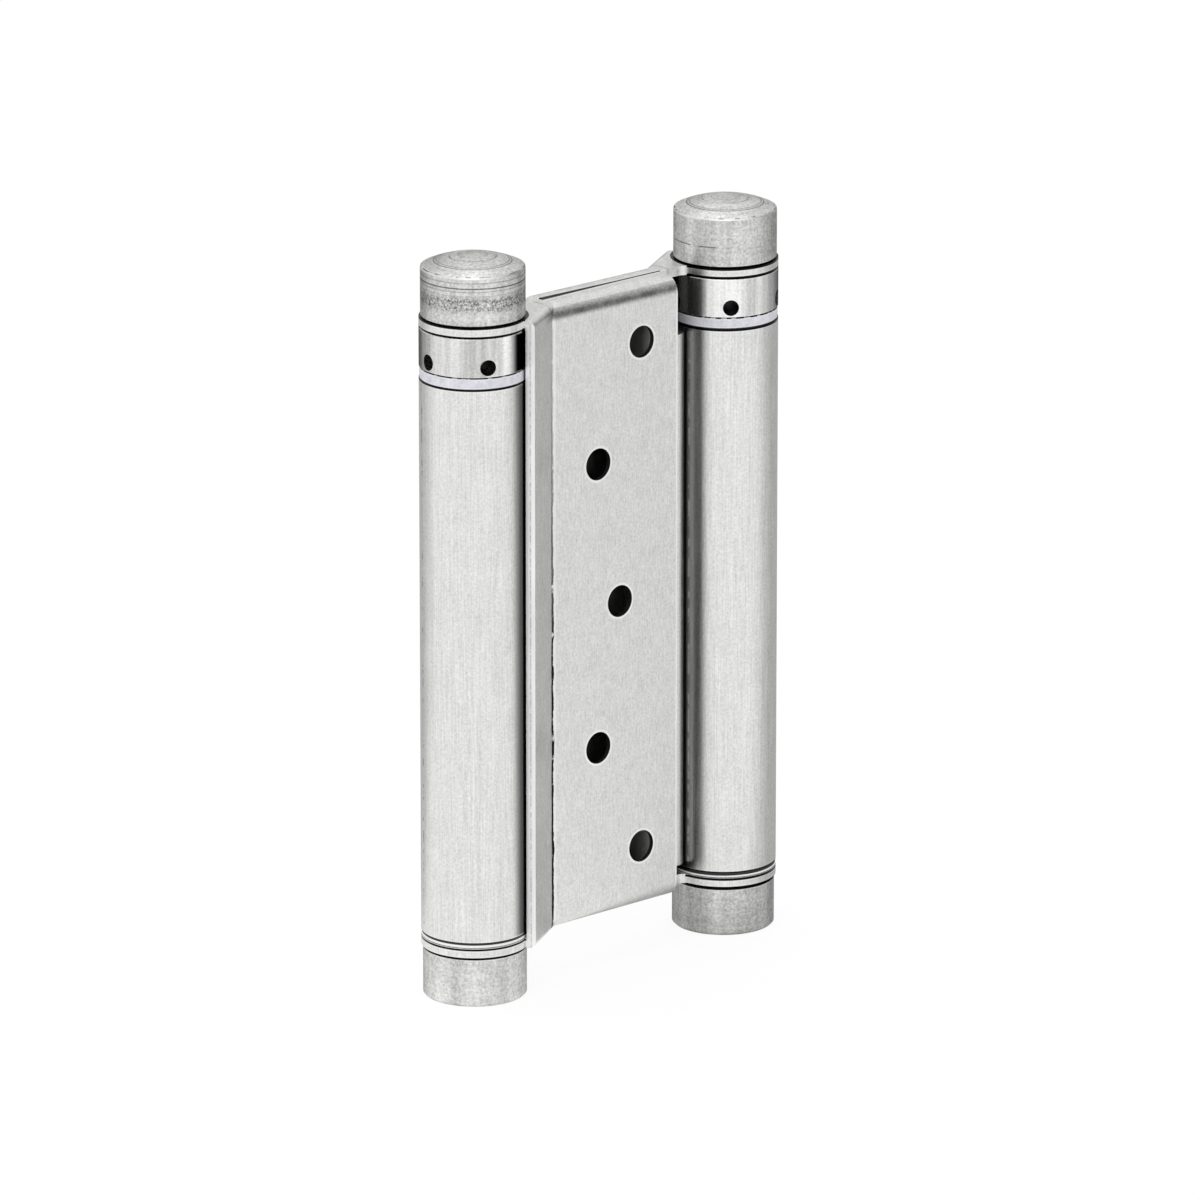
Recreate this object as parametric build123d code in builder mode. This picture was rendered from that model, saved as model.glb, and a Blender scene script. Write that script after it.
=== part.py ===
from build123d import *

import os
from math import acos, atan2, cos, degrees, hypot, radians, sin, sqrt

# Double action spring hinge: two barrels joined by one web, with a leaf swinging on each.
# X runs along the line of the two barrels, Y is the depth, Z is up. The origin lies midway
# between the barrels, on the floor that the lower caps stand on. All sizes are millimetres.

# Overall layout
axis_spacing = 52.2
leaf_height = 99.8
lower_cap_height = 8.0
upper_cap_height = 7.8
sheet = 1.5

# Barrels and the web between them
barrel_radius = 8.25
neck_azimuth = 142.0
free_end_azimuth = 181.0
web_bend = 1.5
web_relief = 1.0
web_shoulder = 10.5
web_corner = 1.0

# Rings stacked on each barrel
lower_flange = 0.75
upper_flange = 1.7
collar_height = 6.2
run_gap = 0.1

# Spindle, caps and bearings
spindle_radius = 3.5
cap_radius = 8.0
seat_clearance = 0.02
run_clearance = 0.05
sleeve_length = 5.0
bush_wall = 1.18
boss_length = 10.0
plug_length = 6.0
cap_edge = 0.3
dome_rise = 1.8
dome_edge = 0.4
rivet_edge = 0.15
collar_edge = 0.15
ring_inset = 0.1

# Torsion spring
wire = 1.8
spring_turns = 12
spring_clearance = 0.35
tang_depth = 2.5
tang_width = 1.4

# Tommy bar holes round each tension collar
bar_radius = 1.25
bar_count = 5
bar_depth = 3.2
bar_rise = 1.6
left_bar_azimuth = 172.4
right_bar_azimuth = 233.6

# Leaf
leaf_face = 4.5
leaf_split = 0.1
leaf_free_edge = 12.0
leaf_fold = -14.1
flare_gap = 0.3
flare_wrap = 4.6
face_bend = 2.6
flare_bend = 1.2
bend_inside = 0.4
neck_fillet = 1.5

# Screw holes, as X and height from the middle one, which sits a little above the leaf's middle
pattern_rise = 0.5
screw_radius = 2.5
sink_radius = 3.25
screw_edge = 0.15
screw_outer = (4.5, 40.5)
screw_inner = (-4.5, 22.7)

# Derived heights
left_axis = -axis_spacing / 2
right_axis = axis_spacing / 2
leaf_bottom = lower_cap_height
leaf_top = leaf_bottom + leaf_height
leaf_middle = (leaf_bottom + leaf_top) / 2
eye_floor = leaf_bottom + sheet
eye_roof = leaf_top - sheet
rim_height = leaf_top + upper_cap_height
dome_radius = (cap_radius**2 + dome_rise**2) / (2 * dome_rise)
tube_bottom = eye_floor + run_gap + lower_flange
collar_top = eye_roof - run_gap
collar_bottom = collar_top - collar_height
tube_top = collar_bottom - run_gap - upper_flange
tube_height = tube_top - tube_bottom
tube_bore = barrel_radius - sheet
boss_radius = tube_bore - seat_clearance - bush_wall - run_clearance
plug_bottom = tube_bottom + sleeve_length
plug_top = plug_bottom + plug_length
boss_bottom = collar_bottom - boss_length
tang_hole_radius = tang_width / 2 * sqrt(2) + run_clearance
coil_radius = tube_bore - spring_clearance - wire / 2

# Derived plan of the web: its neck is tangent to the middle of the barrel wall
wall_middle = barrel_radius - sheet / 2
neck_x = right_axis + wall_middle * cos(radians(neck_azimuth))
neck_y = wall_middle * sin(radians(neck_azimuth))
bend_x = right_axis + wall_middle / cos(radians(neck_azimuth))

# Derived plan of the leaf: its flare is tangent to a circle round the barrel
flare_in = barrel_radius + flare_gap
flare_out = flare_in + sheet
fold_reach = hypot(leaf_fold - left_axis, leaf_face)
fold_azimuth = atan2(-leaf_face, leaf_fold - left_axis)
tangent_azimuth = degrees(fold_azimuth - acos(flare_out / fold_reach))
flare_end_azimuth = tangent_azimuth - flare_wrap
face_in = leaf_face - sheet


def dome_height(radius):
    """The height of the domed end of an upper cap, at a distance from its axis."""
    return rim_height + dome_rise - dome_radius + sqrt(dome_radius**2 - radius**2)


def ring_point(radius, azimuth):
    """A point round the left barrel's axis, in plan."""
    return (
        left_axis + radius * cos(radians(azimuth)),
        radius * sin(radians(azimuth)),
    )


flare_tangent_out = ring_point(flare_out, tangent_azimuth)
flare_tangent_in = ring_point(flare_in, tangent_azimuth)
fold_in_run = (-face_in - flare_tangent_in[1]) / cos(radians(tangent_azimuth))
fold_in = (
    flare_tangent_in[0] - fold_in_run * sin(radians(tangent_azimuth)),
    -face_in,
)

os.makedirs("parts", exist_ok=True)

# Centre body: one sheet, rolled at each end into a barrel
with BuildPart() as centre_body:
    with BuildSketch(Plane.XY.offset(tube_bottom + web_relief)):
        with BuildLine() as web_line:
            FilletPolyline(
                (-neck_x, -neck_y),
                (-bend_x, 0),
                (bend_x, 0),
                (neck_x, neck_y),
                radius=web_bend,
            )
        trace(line_width=sheet)
    extrude(amount=tube_height - 2 * web_relief)
    # Between the leaves the sheet stays nearly full height, so it backs all the screw holes
    with BuildSketch(Plane.XZ.offset(-sheet / 2)):
        with Locations((0, leaf_middle)):
            RectangleRounded(2 * web_shoulder, eye_roof - eye_floor - 2 * run_gap, web_corner)
    extrude(amount=sheet)
    with BuildSketch(Plane.XY.offset(tube_bottom)):
        for side in (1, -1):
            with Locations(Location((side * right_axis, 0), 90 - 90 * side)):
                Circle(barrel_radius)
                Circle(tube_bore, mode=Mode.SUBTRACT)
                with BuildLine():
                    slot_side = PolarLine((0, 0), 2 * barrel_radius, neck_azimuth)
                    slot_end = PolarLine((0, 0), 2 * barrel_radius, free_end_azimuth)
                    Line(slot_side @ 1, slot_end @ 1)
                make_face(mode=Mode.SUBTRACT)
    extrude(amount=tube_height)
centre_body.part.label = "centre_body"
export_step(centre_body.part, "parts/centre_body.step")

# Front leaf: a pressed tray whose top and bottom flanges run on into the eyes
with BuildPart() as front_leaf:
    with BuildSketch(Plane.XY.offset(leaf_bottom)):
        with BuildLine():
            rim = Polyline(
                ring_point(spindle_radius, flare_end_azimuth),
                (left_axis + spindle_radius, -leaf_split),
                (leaf_free_edge, -leaf_split),
                (leaf_free_edge, -leaf_face),
                (leaf_fold, -leaf_face),
                flare_tangent_out,
            )
            curl = CenterArc(
                (left_axis, 0),
                flare_out,
                tangent_azimuth,
                flare_end_azimuth - tangent_azimuth,
            )
            Line(curl @ 1, rim @ 0)
        make_face()
    extrude(amount=leaf_height)
    flare_edges = front_leaf.faces().filter_by(Axis.Z).edges().filter_by(
        lambda edge: edge.center().Y < -leaf_face
        and hypot(edge.center().X - left_axis, edge.center().Y) > flare_out - 0.1
    )
    fillet(flare_edges, flare_bend)
    face_edges = front_leaf.faces().filter_by(Axis.Z).edges().filter_by(
        lambda edge: abs(edge.center().Y + leaf_face) < 0.01
    )
    fillet(face_edges, face_bend)
    with BuildSketch(Plane.XY.offset(eye_floor)):
        with BuildLine():
            hollow = Polyline(
                flare_tangent_in,
                fold_in,
                (leaf_free_edge + sheet, -face_in),
                (leaf_free_edge + sheet, leaf_face),
                (left_axis, leaf_face),
                ring_point(flare_in, flare_end_azimuth - 30),
            )
            CenterArc(
                (left_axis, 0),
                flare_in,
                flare_end_azimuth - 30,
                tangent_azimuth - flare_end_azimuth + 30,
            )
        make_face()
    extrude(amount=eye_roof - eye_floor, mode=Mode.SUBTRACT)
    inner_edges = front_leaf.edges().filter_by(
        lambda edge: abs(abs(edge.center().Z - leaf_middle) - leaf_middle + eye_floor) < 0.01
        and edge.center().Y < -face_in + 0.01
        and hypot(edge.center().X - left_axis, edge.center().Y) > flare_in - 0.1
    )
    fillet(inner_edges, bend_inside)
    for level in (leaf_bottom, eye_roof):
        with BuildSketch(Plane.XY.offset(level)):
            with Locations((left_axis, 0)):
                Circle(barrel_radius)
        extrude(amount=sheet)
    neck_corners = front_leaf.edges().filter_by(Axis.Z).filter_by(
        lambda edge: edge.length < sheet + 0.1
        and abs(edge.center().Y + leaf_split) < 0.01
        and edge.center().X < leaf_fold
    )
    fillet(neck_corners, neck_fillet)
    with Locations((left_axis, 0, leaf_top)):
        Hole(spindle_radius + seat_clearance)
    with Locations(Plane((0, -face_in, leaf_middle + pattern_rise), x_dir=(1, 0, 0), z_dir=(0, 1, 0))):
        with Locations(
            (0, 0),
            screw_outer,
            (screw_outer[0], -screw_outer[1]),
            screw_inner,
            (screw_inner[0], -screw_inner[1]),
        ):
            CounterSinkHole(screw_radius, sink_radius, depth=sheet, counter_sink_angle=90)
    hole_rims = front_leaf.faces().filter_by(Axis.Y).sort_by(SortBy.AREA)[-1].inner_wires().edges()
    chamfer(hole_rims, screw_edge)
front_leaf.part.label = "front_leaf"
export_step(front_leaf.part, "parts/front_leaf.step")

# Rear leaf: the same pressing, turned half a turn about the middle of the hinge
rear_leaf = front_leaf.part.rotate(Axis.Z, 180)
rear_leaf.label = "rear_leaf"
export_step(rear_leaf, "parts/rear_leaf.step")

# Each barrel carries the same turned and moulded pieces
for side, axis_x, bar_azimuth in (
    ("left", left_axis, left_bar_azimuth),
    ("right", right_axis, right_bar_azimuth),
):
    axis_plane = Plane((axis_x, 0, 0), x_dir=(1, 0, 0), z_dir=(0, -1, 0))
    barrel_axis = Axis((axis_x, 0, 0), (0, 0, 1))

    # Spindle: a plain rod, riveted into the caps at both ends and domed with the upper one
    with BuildPart() as spindle:
        with BuildSketch(axis_plane):
            with BuildLine():
                rod = Polyline(
                    (0, dome_height(0)),
                    (0, 0),
                    (spindle_radius, 0),
                    (spindle_radius, dome_height(spindle_radius)),
                )
                RadiusArc(rod @ 1, rod @ 0, -dome_radius)
            make_face()
        revolve(axis=barrel_axis)
    spindle.part.label = side + "_spindle"
    export_step(spindle.part, "parts/" + side + "_spindle.step")

    # Caps: turned rings with broken edges, the upper one with a shallow dome
    with BuildPart() as upper_cap:
        with BuildSketch(axis_plane):
            with BuildLine():
                bore = spindle_radius + seat_clearance
                wall = Polyline(
                    (bore, dome_height(bore)),
                    (bore, leaf_top),
                    (cap_radius, leaf_top),
                    (cap_radius, rim_height),
                )
                RadiusArc(wall @ 1, wall @ 0, -dome_radius)
            make_face()
        revolve(axis=barrel_axis)
        rings = upper_cap.edges().filter_by(GeomType.CIRCLE)
        foot = rings.filter_by_position(Axis.Z, leaf_top - 0.01, leaf_top + 0.01)
        chamfer(foot.sort_by(SortBy.RADIUS)[-1], cap_edge)
        fillet(rings.filter_by_position(Axis.Z, rim_height - 0.01, rim_height + 0.01), dome_edge)
        chamfer(upper_cap.edges().filter_by(GeomType.CIRCLE).sort_by(Axis.Z)[-1], rivet_edge)
    upper_cap.part.label = side + "_upper_cap"
    export_step(upper_cap.part, "parts/" + side + "_upper_cap.step")

    with BuildPart() as lower_cap:
        with BuildSketch():
            with Locations((axis_x, 0)):
                Circle(cap_radius)
                Circle(spindle_radius + seat_clearance, mode=Mode.SUBTRACT)
        extrude(amount=lower_cap_height)
        ends = lower_cap.faces().filter_by(Axis.Z).sort_by(Axis.Z)
        chamfer(ends[0].edges().sort_by(SortBy.RADIUS)[0], rivet_edge)
        for end in (ends[0], ends[-1]):
            chamfer(end.edges().sort_by(SortBy.RADIUS)[-1], cap_edge)
    lower_cap.part.label = side + "_lower_cap"
    export_step(lower_cap.part, "parts/" + side + "_lower_cap.step")

    # Lower bush: a thin flange under the barrel with a sleeve up inside it
    with BuildPart() as lower_bush:
        with BuildSketch(Plane.XY.offset(tube_bottom - lower_flange)):
            with Locations((axis_x, 0)):
                Circle(barrel_radius - ring_inset)
        extrude(amount=lower_flange)
        with BuildSketch(Plane.XY.offset(tube_bottom)):
            with Locations((axis_x, 0)):
                Circle(tube_bore - seat_clearance)
        extrude(amount=sleeve_length)
        with Locations((axis_x, 0, plug_bottom)):
            Hole(spindle_radius + run_clearance)
    lower_bush.part.label = side + "_lower_bush"
    export_step(lower_bush.part, "parts/" + side + "_lower_bush.step")

    # Spring plug: pressed into the barrel, with a hole for the spring's lower tang
    with BuildPart() as spring_plug:
        with BuildSketch(Plane.XY.offset(plug_bottom)):
            with Locations((axis_x, 0)):
                Circle(tube_bore - seat_clearance)
                Circle(spindle_radius + spring_clearance, mode=Mode.SUBTRACT)
        extrude(amount=plug_length)
        with Locations((axis_x + coil_radius, 0, plug_top)):
            Hole(tang_hole_radius, depth=tang_depth + run_clearance)
    spring_plug.part.label = side + "_spring_plug"
    export_step(spring_plug.part, "parts/" + side + "_spring_plug.step")

    # Torsion spring: its tangs stand in the plug below and in the collar's boss above
    with BuildPart() as torsion_spring:
        with BuildLine() as coil:
            Helix(
                pitch=(boss_bottom - plug_top - wire) / spring_turns,
                height=boss_bottom - plug_top - wire,
                radius=coil_radius,
                center=(axis_x, 0, plug_top + wire / 2),
            )
        with BuildSketch(Plane(coil.line @ 0, x_dir=(1, 0, 0), z_dir=coil.line % 0)):
            Rectangle(wire, wire)
        sweep(is_frenet=True)
        for tang_base in (plug_top - tang_depth, boss_bottom - wire):
            with BuildSketch(Plane.XY.offset(tang_base)):
                with Locations((axis_x + coil_radius, 0)):
                    Rectangle(tang_width, tang_width)
            extrude(amount=tang_depth + wire)
    torsion_spring.part.label = side + "_torsion_spring"
    export_step(torsion_spring.part, "parts/" + side + "_torsion_spring.step")

    # Upper bush: the pale flange between barrel and collar, with a sleeve down inside
    with BuildPart() as upper_bush:
        with BuildSketch(Plane.XY.offset(tube_top)):
            with Locations((axis_x, 0)):
                Circle(barrel_radius - ring_inset)
        extrude(amount=upper_flange)
        with BuildSketch(Plane.XY.offset(tube_top - sleeve_length)):
            with Locations((axis_x, 0)):
                Circle(tube_bore - seat_clearance)
        extrude(amount=sleeve_length)
        with Locations((axis_x, 0, collar_bottom)):
            Hole(boss_radius + run_clearance)
    upper_bush.part.label = side + "_upper_bush"
    export_step(upper_bush.part, "parts/" + side + "_upper_bush.step")

    # Tension collar: a drilled ring, with a boss that reaches down through the bush
    with BuildPart() as tension_collar:
        with BuildSketch(Plane.XY.offset(collar_bottom)):
            with Locations((axis_x, 0)):
                Circle(barrel_radius)
        extrude(amount=collar_height)
        chamfer(tension_collar.faces().filter_by(Axis.Z).edges(), collar_edge)
        with BuildSketch(Plane.XY.offset(boss_bottom)):
            with Locations((axis_x, 0)):
                Circle(boss_radius)
        extrude(amount=boss_length + collar_edge)
        with Locations((axis_x, 0, collar_top)):
            Hole(spindle_radius + run_clearance)
        with BuildSketch(Plane.XY.offset(boss_bottom)):
            with Locations((axis_x + coil_radius, 0)):
                Circle(tang_hole_radius)
        extrude(amount=tang_depth + run_clearance, mode=Mode.SUBTRACT)
        for index in range(bar_count):
            azimuth = radians(bar_azimuth + index * 360 / bar_count)
            outward = Vector(cos(azimuth), sin(azimuth), 0)
            mouth = Vector(axis_x, 0, collar_bottom + bar_rise) + outward * barrel_radius
            with Locations(Plane(mouth, x_dir=(0, 0, 1), z_dir=outward)):
                Hole(bar_radius, depth=bar_depth)
    tension_collar.part.label = side + "_tension_collar"
    export_step(tension_collar.part, "parts/" + side + "_tension_collar.step")
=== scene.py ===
# Double action spring hinge in brushed stainless steel, standing on its two lower caps.
# Metres. X runs along the line of the barrels, Y away from the front leaf, Z up.
import math

import bpy
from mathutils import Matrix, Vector

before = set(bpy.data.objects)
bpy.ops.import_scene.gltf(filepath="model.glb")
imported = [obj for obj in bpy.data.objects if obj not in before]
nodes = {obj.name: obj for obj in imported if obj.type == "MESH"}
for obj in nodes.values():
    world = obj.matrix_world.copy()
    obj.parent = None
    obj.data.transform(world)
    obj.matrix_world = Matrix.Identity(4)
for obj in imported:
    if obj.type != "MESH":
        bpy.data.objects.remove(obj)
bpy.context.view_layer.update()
print("frame loaded:", len(nodes), "pieces")

# Sizes of the hinge that the materials follow
hinge = {
    "axisX": 0.0261,  # distance of each barrel's axis from the middle
    "barrelRadius": 0.00825,
    "leafTop": 0.1078,
    "rim": 0.1156,  # where the domed end of an upper cap starts
    "eyeFloor": 0.0095,
    "eyeRoof": 0.1063,
    "leafInside": 0.003,  # distance of a leaf's inner face from the middle plane
    "flareRadius": 0.00855,  # inside radius of a leaf's flare round its barrel
    "flareTurn": -58.91,  # direction that the flare faces, in degrees from the barrel's axis
    "flareEnd": -63.51,  # turn at which the flare stops
    "neckSide": 160.0,  # turns below this lie on the side of the barrel's neck
}

# Camera, at the photograph's angle
photoView = {
    "place": (-1.12109, -1.22657, 0.54993),
    "turn": 42.4266,  # degrees clockwise from looking along +Y
    "tilt": 16.504,  # degrees below the horizon
    "lens": 337.4,
    "sensor": 36.0,
}


def placeCamera(view):
    data = bpy.data.cameras.new("photoCamera")
    data.lens = view["lens"]
    data.sensor_width = view["sensor"]
    data.clip_start = 0.05
    data.clip_end = 30
    camera = bpy.data.objects.new("photoCamera", data)
    bpy.context.scene.collection.objects.link(camera)
    camera.location = view["place"]
    camera.rotation_euler = (math.radians(90 - view["tilt"]), 0, -math.radians(view["turn"]))
    bpy.context.scene.camera = camera


placeCamera(photoView)
print("camera placed")


# Node helpers: a value that is fed to a socket is either a number, a colour or another socket
def addNode(tree, kind, place, **values):
    node = tree.nodes.new(kind)
    node.location = place
    for key, value in values.items():
        setattr(node, key, value)
    return node


def feed(tree, value, socket):
    if isinstance(value, bpy.types.NodeSocket):
        tree.links.new(value, socket)
    else:
        socket.default_value = value


def mathOf(tree, place, operation, first, second=0.0, third=0.0):
    node = addNode(tree, "ShaderNodeMath", place, operation=operation)
    for value, socket in zip((first, second, third), node.inputs):
        feed(tree, value, socket)
    return node.outputs[0]


def rangeOf(tree, place, value, low, high, outLow=0.0, outHigh=1.0, smooth=False):
    node = addNode(tree, "ShaderNodeMapRange", place)
    if smooth:
        node.interpolation_type = "SMOOTHSTEP"
    names = ("Value", "From Min", "From Max", "To Min", "To Max")
    for name, item in zip(names, (value, low, high, outLow, outHigh)):
        feed(tree, item, node.inputs[name])
    return node.outputs["Result"]


def mixColour(tree, place, factor, first, second):
    node = addNode(tree, "ShaderNodeMix", place, data_type="RGBA")
    feed(tree, factor, node.inputs[0])
    feed(tree, first, node.inputs[6])
    feed(tree, second, node.inputs[7])
    return node.outputs[2]


def noiseOf(tree, place, vector, scale, detail=2.0, rough=0.5):
    node = addNode(tree, "ShaderNodeTexNoise", place)
    feed(tree, vector, node.inputs["Vector"])
    feed(tree, scale, node.inputs["Scale"])
    feed(tree, detail, node.inputs["Detail"])
    feed(tree, rough, node.inputs["Roughness"])
    return node.outputs["Fac"]


def splitOf(tree, place, vector):
    node = addNode(tree, "ShaderNodeSeparateXYZ", place)
    feed(tree, vector, node.inputs[0])
    return node.outputs


def newGroup(name, inputs, outputs):
    group = bpy.data.node_groups.new(name, "ShaderNodeTree")
    for label, kind in inputs:
        group.interface.new_socket(label, in_out="INPUT", socket_type="NodeSocket" + kind)
    for label, kind in outputs:
        group.interface.new_socket(label, in_out="OUTPUT", socket_type="NodeSocket" + kind)
    start = addNode(group, "NodeGroupInput", (-900, 0))
    end = addNode(group, "NodeGroupOutput", (900, 0))
    return group, start.outputs, end.inputs


def useGroup(tree, place, group, **values):
    node = addNode(tree, "ShaderNodeGroup", place, node_tree=group)
    for name, value in values.items():
        feed(tree, value, node.inputs[name])
    return node.outputs


# Studio: pale floor, soft lamps, and a surround that is brighter on the camera's side
studio = {
    "floorSize": 6.0,
    "floorColour": (0.95, 0.95, 0.95, 1),
    "floorGlow": 0.86,
    "floorSeen": 1.03,
    "front": 1.0,
    "back": 0.42,
    "facing": 222.0,
    "fadeFrom": -0.6,
    "fadeTo": 0.25,
    "cardTurn": 330.0,  # middle of a dark card above the horizon
    "cardFade": (0.78, 0.93),
    "cardLift": (0.01, 0.05, 0.42, 0.62),  # sine of the elevation where it starts, is full, and ends
    "cardShade": 0.95,
    "backLift": (0.12, 0.26),
    "backSky": 1.0,
    "lamps": [
        {"name": "keyLamp", "place": (-0.75, -0.75, 0.8), "size": 0.7, "power": 2.0},
        {"name": "topLamp", "place": (0.0, 0.1, 1.1), "size": 0.9, "power": 2.0},
    ],
}


def makeSurround(values):
    group, start, end = newGroup("surroundLevel", [("Direction", "Vector")], [("Level", "Float")])
    turn = math.radians(values["facing"])
    flat = addNode(group, "ShaderNodeVectorMath", (-700, 0), operation="MULTIPLY")
    feed(group, start["Direction"], flat.inputs[0])
    flat.inputs[1].default_value = (1, 1, 0)
    unit = addNode(group, "ShaderNodeVectorMath", (-500, 0), operation="NORMALIZE")
    feed(group, flat.outputs[0], unit.inputs[0])
    facing = addNode(group, "ShaderNodeVectorMath", (-300, 0), operation="DOT_PRODUCT")
    feed(group, unit.outputs[0], facing.inputs[0])
    facing.inputs[1].default_value = (math.cos(turn), math.sin(turn), 0)
    level = rangeOf(group, (-100, 0), facing.outputs["Value"], values["fadeFrom"], values["fadeTo"],
                    values["back"], values["front"], smooth=True)
    full = addNode(group, "ShaderNodeVectorMath", (-700, -300), operation="NORMALIZE")
    feed(group, start["Direction"], full.inputs[0])
    height = splitOf(group, (-500, -300), full.outputs[0])["Z"]
    raised = rangeOf(group, (-100, -200), height, *values["backLift"], 0.0, values["backSky"], smooth=True)
    level = mathOf(group, (100, 0), "MAXIMUM", level, raised)
    cardTurn = math.radians(values["cardTurn"])
    card = addNode(group, "ShaderNodeVectorMath", (-300, -500), operation="DOT_PRODUCT")
    feed(group, unit.outputs[0], card.inputs[0])
    card.inputs[1].default_value = (math.cos(cardTurn), math.sin(cardTurn), 0)
    low, lowFull, highFull, high = values["cardLift"]
    shade = rangeOf(group, (-100, -500), card.outputs["Value"], *values["cardFade"], smooth=True)
    above = rangeOf(group, (-100, -700), height, low, lowFull, smooth=True)
    below = rangeOf(group, (-100, -900), height, highFull, high, 1.0, 0.0, smooth=True)
    shade = mathOf(group, (100, -500), "MULTIPLY", shade, above)
    shade = mathOf(group, (300, -500), "MULTIPLY", shade, below)
    shade = mathOf(group, (400, -300), "MULTIPLY_ADD", shade, -values["cardShade"], 1.0)
    feed(group, mathOf(group, (600, 0), "MULTIPLY", level, shade), end["Level"])
    return group


def makeSky(surround):
    world = bpy.data.worlds.new("studioSky")
    bpy.context.scene.world = world
    world.use_nodes = True
    tree = world.node_tree
    tree.nodes.clear()
    coords = addNode(tree, "ShaderNodeTexCoord", (-700, 0))
    level = useGroup(tree, (-500, 0), surround, Direction=coords.outputs["Generated"])["Level"]
    seen = addNode(tree, "ShaderNodeLightPath", (-500, 300))
    plain = mathOf(tree, (-100, 0), "MAXIMUM", level, seen.outputs["Is Camera Ray"])
    light = addNode(tree, "ShaderNodeBackground", (100, 0))
    out = addNode(tree, "ShaderNodeOutputWorld", (300, 0))
    feed(tree, plain, light.inputs["Strength"])
    feed(tree, light.outputs[0], out.inputs[0])


def makeLamp(values):
    data = bpy.data.lights.new(values["name"], "AREA")
    data.shape = "DISK"
    data.size = values["size"]
    data.energy = values["power"]
    lamp = bpy.data.objects.new(values["name"], data)
    bpy.context.scene.collection.objects.link(lamp)
    lamp.location = values["place"]
    aim = Vector((0, 0, 0.055)) - lamp.location
    lamp.rotation_euler = aim.to_track_quat("-Z", "Y").to_euler()


def makeFloor(values, surround):
    half = values["floorSize"] / 2
    mesh = bpy.data.meshes.new("studioFloor")
    corners = [(-half, -half, 0), (half, -half, 0), (half, half, 0), (-half, half, 0)]
    mesh.from_pydata(corners, [], [(0, 1, 2, 3)])
    floor = bpy.data.objects.new("studioFloor", mesh)
    bpy.context.scene.collection.objects.link(floor)
    material = bpy.data.materials.new("paleFloor")
    material.use_nodes = True
    tree = material.node_tree
    tree.nodes.clear()
    coords = addNode(tree, "ShaderNodeTexCoord", (-900, -200))
    level = useGroup(tree, (-700, -200), surround, Direction=coords.outputs["Object"])["Level"]
    seen = addNode(tree, "ShaderNodeLightPath", (-900, 200))
    plain = mathOf(tree, (-700, -350), "MULTIPLY", seen.outputs["Is Camera Ray"], values["floorSeen"])
    strength = mathOf(tree, (-500, -200), "MAXIMUM", level, plain)
    either = seen.outputs["Is Camera Ray"]
    for step, ray in enumerate(("Is Glossy Ray", "Is Transmission Ray")):
        either = mathOf(tree, (-700 + 200 * step, 200), "MAXIMUM", either, seen.outputs[ray])
    share = mathOf(tree, (-300, 200), "MULTIPLY", either, values["floorGlow"])
    matt = addNode(tree, "ShaderNodeBsdfDiffuse", (-300, 0))
    matt.inputs["Color"].default_value = values["floorColour"]
    glow = addNode(tree, "ShaderNodeEmission", (-300, -150))
    feed(tree, strength, glow.inputs["Strength"])
    mix = addNode(tree, "ShaderNodeMixShader", (-100, 0))
    out = addNode(tree, "ShaderNodeOutputMaterial", (100, 0))
    feed(tree, share, mix.inputs["Fac"])
    feed(tree, matt.outputs[0], mix.inputs[1])
    feed(tree, glow.outputs[0], mix.inputs[2])
    feed(tree, mix.outputs[0], out.inputs[0])
    mesh.materials.append(material)


surroundGroup = makeSurround(studio)
makeSky(surroundGroup)
for lampValues in studio["lamps"]:
    makeLamp(lampValues)
makeFloor(studio, surroundGroup)
bpy.context.scene.view_settings.view_transform = "Standard"
print("studio lit")


# Shared effects, each a node group
def makeLinesGroup():
    # Fine lines: noise stretched one way in X and Y and another way in Z
    group, start, end = newGroup(
        "fineLines",
        [("Vector", "Vector"), ("Flat", "Float"), ("Upright", "Float")],
        [("Fine", "Float"), ("Broad", "Float")],
    )
    scale = addNode(group, "ShaderNodeCombineXYZ", (-700, -200))
    for axis, name in (("X", "Flat"), ("Y", "Flat"), ("Z", "Upright")):
        feed(group, start[name], scale.inputs[axis])
    stretched = addNode(group, "ShaderNodeVectorMath", (-500, 0), operation="MULTIPLY")
    feed(group, start["Vector"], stretched.inputs[0])
    feed(group, scale.outputs[0], stretched.inputs[1])
    fine = noiseOf(group, (-300, 100), stretched.outputs[0], 1.0, 3.0, 0.6)
    broad = noiseOf(group, (-300, -150), stretched.outputs[0], 0.17, 2.0, 0.5)
    feed(group, rangeOf(group, (0, 100), fine, 0.3, 0.7), end["Fine"])
    feed(group, rangeOf(group, (0, -150), broad, 0.3, 0.7), end["Broad"])
    return group


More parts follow.
